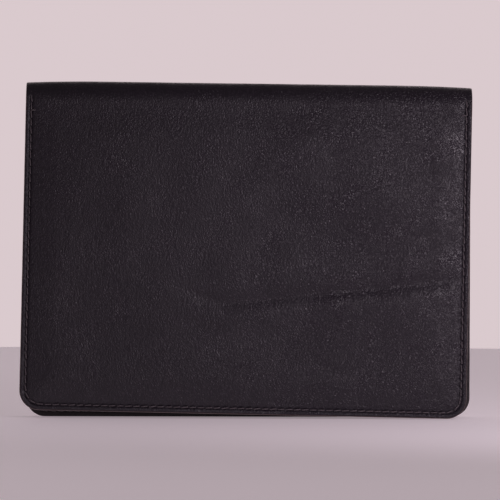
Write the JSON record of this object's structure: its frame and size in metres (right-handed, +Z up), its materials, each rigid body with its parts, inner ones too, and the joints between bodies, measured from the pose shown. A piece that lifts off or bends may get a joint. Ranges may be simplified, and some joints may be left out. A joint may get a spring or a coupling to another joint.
{
  "type": "passport holder",
  "caption": "Slim bifold leather passport holder standing on its long free edges, with a rolled spine, a passport sleeve, a slip pocket and stepped card slots inside.",
  "frame": {"origin": "centre of the bounding box on the surface that the holder stands on", "axes": "+X along the spine, +Y out of the back cover, +Z up from the free edges to the spine; the front cover faces -Y"},
  "size_m": [0.142, 0.0188, 0.1058],
  "materials": {
    "outer_leather": "black fine-grain calf with a soft sheen",
    "pocket_leather": "black skived pocket leather, satin",
    "lining": "black fine twill lining, matt",
    "stiffener": "grey bonded leather board, matt",
    "thread": "black waxed thread"
  },
  "bodies": {
    "back_cover": {"back_outer_leather": "outer_leather", "back_stiffener": "stiffener", "back_lining": "lining", "slip_pocket": "pocket_leather", "card_slot_1": "pocket_leather", "card_slot_2": "pocket_leather", "card_slot_3": "pocket_leather", "back_seam_thread": "thread", "card_slot_thread_1": "thread", "card_slot_thread_2": "thread", "card_slot_thread_3": "thread"},
    "spine_back": {"spine_leather_1": "outer_leather", "spine_lining_1": "lining"},
    "spine_crown": {"spine_leather_2": "outer_leather", "spine_lining_2": "lining"},
    "spine_front": {"spine_leather_3": "outer_leather", "spine_lining_3": "lining"},
    "front_cover": {"front_outer_leather": "outer_leather", "front_stiffener": "stiffener", "front_lining": "lining", "passport_sleeve": "pocket_leather", "front_seam_thread": "thread"}
  },
  "joints": [
    {"name": "fold_1", "type": "hinge", "parent": "back_cover", "child": "spine_back", "pos_m": [0.00089, 0.00943, 0.101], "axis": [-1, 0, 0.0096], "range_deg": [-1.25, 44.25]},
    {"name": "fold_2", "type": "hinge", "parent": "spine_back", "child": "spine_crown", "pos_m": [0.00093, 0.00553, 0.10501], "axis": [-1, 0, 0.0096], "range_deg": [-1.25, 44.25]},
    {"name": "fold_3", "type": "hinge", "parent": "spine_crown", "child": "spine_front", "pos_m": [0.00093, -0.00006, 0.10515], "axis": [-1, 0, 0.0096], "range_deg": [-1.25, 44.25]},
    {"name": "fold_4", "type": "hinge", "parent": "spine_front", "child": "front_cover", "pos_m": [0.0009, -0.00417, 0.10136], "axis": [-1, 0, 0.0096], "range_deg": [-1.25, 44.25]}
  ],
  "couplings": [
    {"joint": "fold_2", "follows": "fold_1", "ratio": 1},
    {"joint": "fold_3", "follows": "fold_1", "ratio": 1},
    {"joint": "fold_4", "follows": "fold_1", "ratio": 1}
  ]
}
